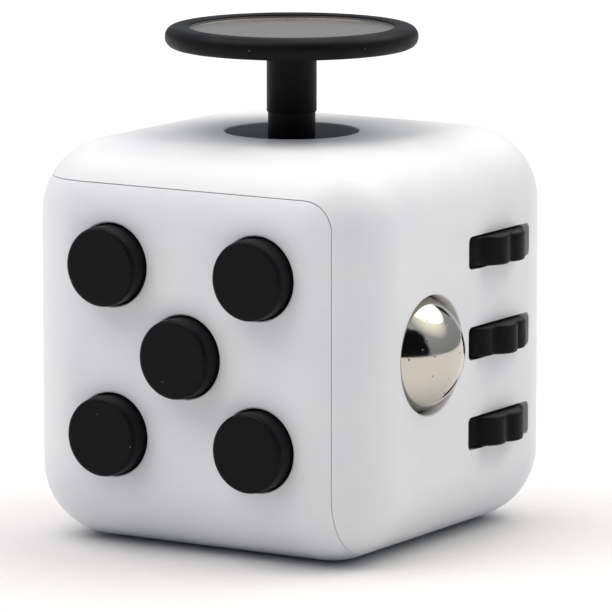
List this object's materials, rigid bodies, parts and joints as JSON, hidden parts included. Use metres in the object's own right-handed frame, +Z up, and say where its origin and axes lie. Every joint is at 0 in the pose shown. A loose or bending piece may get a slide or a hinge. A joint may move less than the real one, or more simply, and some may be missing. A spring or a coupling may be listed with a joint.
{
  "type": "fidget cube",
  "caption": "Palm-sized fidget cube: rounded white shell with push buttons, joystick, steel roll ball, thumb wheels, rocker switch, spin dial and thumb dish on its faces.",
  "frame": {"origin": "centre of the cube's bottom face, at the height it rests at", "axes": "+Z up through the joystick, -Y out of the push buttons, +X out of the roll ball and thumb wheels"},
  "size_m": [0.0376, 0.0365, 0.0417],
  "materials": {
    "white_abs": "moulded, satin",
    "black_abs": "moulded, matt",
    "inner_acetal": "moulded, plain",
    "ball_steel": "polished",
    "zinc_steel": "zinc plated",
    "spring_steel": "bright drawn",
    "silicone": "translucent, matt"
  },
  "bodies": {
    "cube": {"front_shell": "white_abs", "rear_shell": "white_abs", "button_plate": "inner_acetal", "button_plate_screws": "zinc_steel", "snap_dome_upper_left": "spring_steel", "silicone_cup_upper_right": "silicone", "snap_dome_middle": "spring_steel", "silicone_cup_lower_left": "silicone", "snap_dome_lower_right": "spring_steel", "joystick_housing": "black_abs", "joystick_screws": "zinc_steel", "joystick_spring": "spring_steel", "ball_housing": "inner_acetal", "ball_housing_screws": "zinc_steel", "ball_spring": "spring_steel", "wheel_axle": "zinc_steel", "wheel_bracket": "inner_acetal", "wheel_bracket_screws": "zinc_steel", "rocker_pin": "zinc_steel", "rocker_housing": "inner_acetal", "rocker_housing_screws": "zinc_steel", "rocker_leaf_spring": "spring_steel"},
    "button_upper_left": {"button_upper_left": "black_abs"},
    "button_upper_right": {"button_upper_right": "black_abs"},
    "button_middle": {"button_middle": "black_abs"},
    "button_lower_left": {"button_lower_left": "black_abs"},
    "button_lower_right": {"button_lower_right": "black_abs"},
    "gimbal": {"joystick_gimbal": "black_abs"},
    "stick": {"joystick_disc": "black_abs", "joystick_stem": "black_abs"},
    "ball_carrier": {"ball_cup": "inner_acetal"},
    "ball": {"roll_ball": "ball_steel"},
    "wheel_top": {"thumb_wheel_top": "black_abs"},
    "wheel_middle": {"thumb_wheel_middle": "black_abs"},
    "wheel_bottom": {"thumb_wheel_bottom": "black_abs"},
    "rocker": {"rocker": "black_abs"},
    "dial": {"dial": "black_abs", "dial_washer": "zinc_steel", "dial_screw": "zinc_steel"}
  },
  "joints": [
    {"name": "press_upper_left", "type": "slide", "parent": "cube", "child": "button_upper_left", "axis": [0, 1, 0], "range_m": [0, 0.0008], "stiffness_N_per_m": 1500, "springref_m": -0.0003, "deforming": ["snap_dome_upper_left"]},
    {"name": "press_upper_right", "type": "slide", "parent": "cube", "child": "button_upper_right", "axis": [0, 1, 0], "range_m": [0, 0.0008], "stiffness_N_per_m": 700, "springref_m": -0.0003, "deforming": ["silicone_cup_upper_right"]},
    {"name": "press_middle", "type": "slide", "parent": "cube", "child": "button_middle", "axis": [0, 1, 0], "range_m": [0, 0.0008], "stiffness_N_per_m": 1500, "springref_m": -0.0003, "deforming": ["snap_dome_middle"]},
    {"name": "press_lower_left", "type": "slide", "parent": "cube", "child": "button_lower_left", "axis": [0, 1, 0], "range_m": [0, 0.0008], "stiffness_N_per_m": 700, "springref_m": -0.0003, "deforming": ["silicone_cup_lower_left"]},
    {"name": "press_lower_right", "type": "slide", "parent": "cube", "child": "button_lower_right", "axis": [0, 1, 0], "range_m": [0, 0.0008], "stiffness_N_per_m": 1500, "springref_m": -0.0003, "deforming": ["snap_dome_lower_right"]},
    {"name": "stick_tilt_front_back", "type": "hinge", "parent": "cube", "child": "gimbal", "pos_m": [0, 0, 0.027], "axis": [1, 0, 0], "range_deg": [-17, 17], "stiffness_Nm_per_rad": 0.03, "deforming": ["joystick_spring"]},
    {"name": "stick_tilt_left_right", "type": "hinge", "parent": "gimbal", "child": "stick", "pos_m": [0, 0, 0.027], "axis": [0, 1, 0], "range_deg": [-17, 17], "stiffness_Nm_per_rad": 0.03, "deforming": ["joystick_spring"]},
    {"name": "ball_press", "type": "slide", "parent": "cube", "child": "ball_carrier", "axis": [-1, 0, 0], "range_m": [0, 0.0008], "stiffness_N_per_m": 2500, "springref_m": -0.0003, "deforming": ["ball_spring"]},
    {"name": "ball_roll", "type": "hinge", "parent": "ball_carrier", "child": "ball", "pos_m": [0.0138, -0.0052, 0.0165], "axis": [0, 1, 0], "continuous": true},
    {"name": "wheel_top_roll", "type": "hinge", "parent": "cube", "child": "wheel_top", "pos_m": [0.0127, 0.0056, 0.02395], "axis": [0, 0, 1], "continuous": true},
    {"name": "wheel_middle_roll", "type": "hinge", "parent": "cube", "child": "wheel_middle", "pos_m": [0.0127, 0.0056, 0.0165], "axis": [0, 0, 1], "continuous": true},
    {"name": "wheel_bottom_roll", "type": "hinge", "parent": "cube", "child": "wheel_bottom", "pos_m": [0.0127, 0.0056, 0.00905], "axis": [0, 0, 1], "continuous": true},
    {"name": "rocker_flip", "type": "hinge", "parent": "cube", "child": "rocker", "pos_m": [0, 0.013, 0.0165], "axis": [-1, 0, 0], "range_deg": [0, 16], "deforming": ["rocker_leaf_spring"]},
    {"name": "dial_spin", "type": "hinge", "parent": "cube", "child": "dial", "pos_m": [-0.0165, 0, 0.0165], "axis": [-1, 0, 0], "continuous": true}
  ]
}
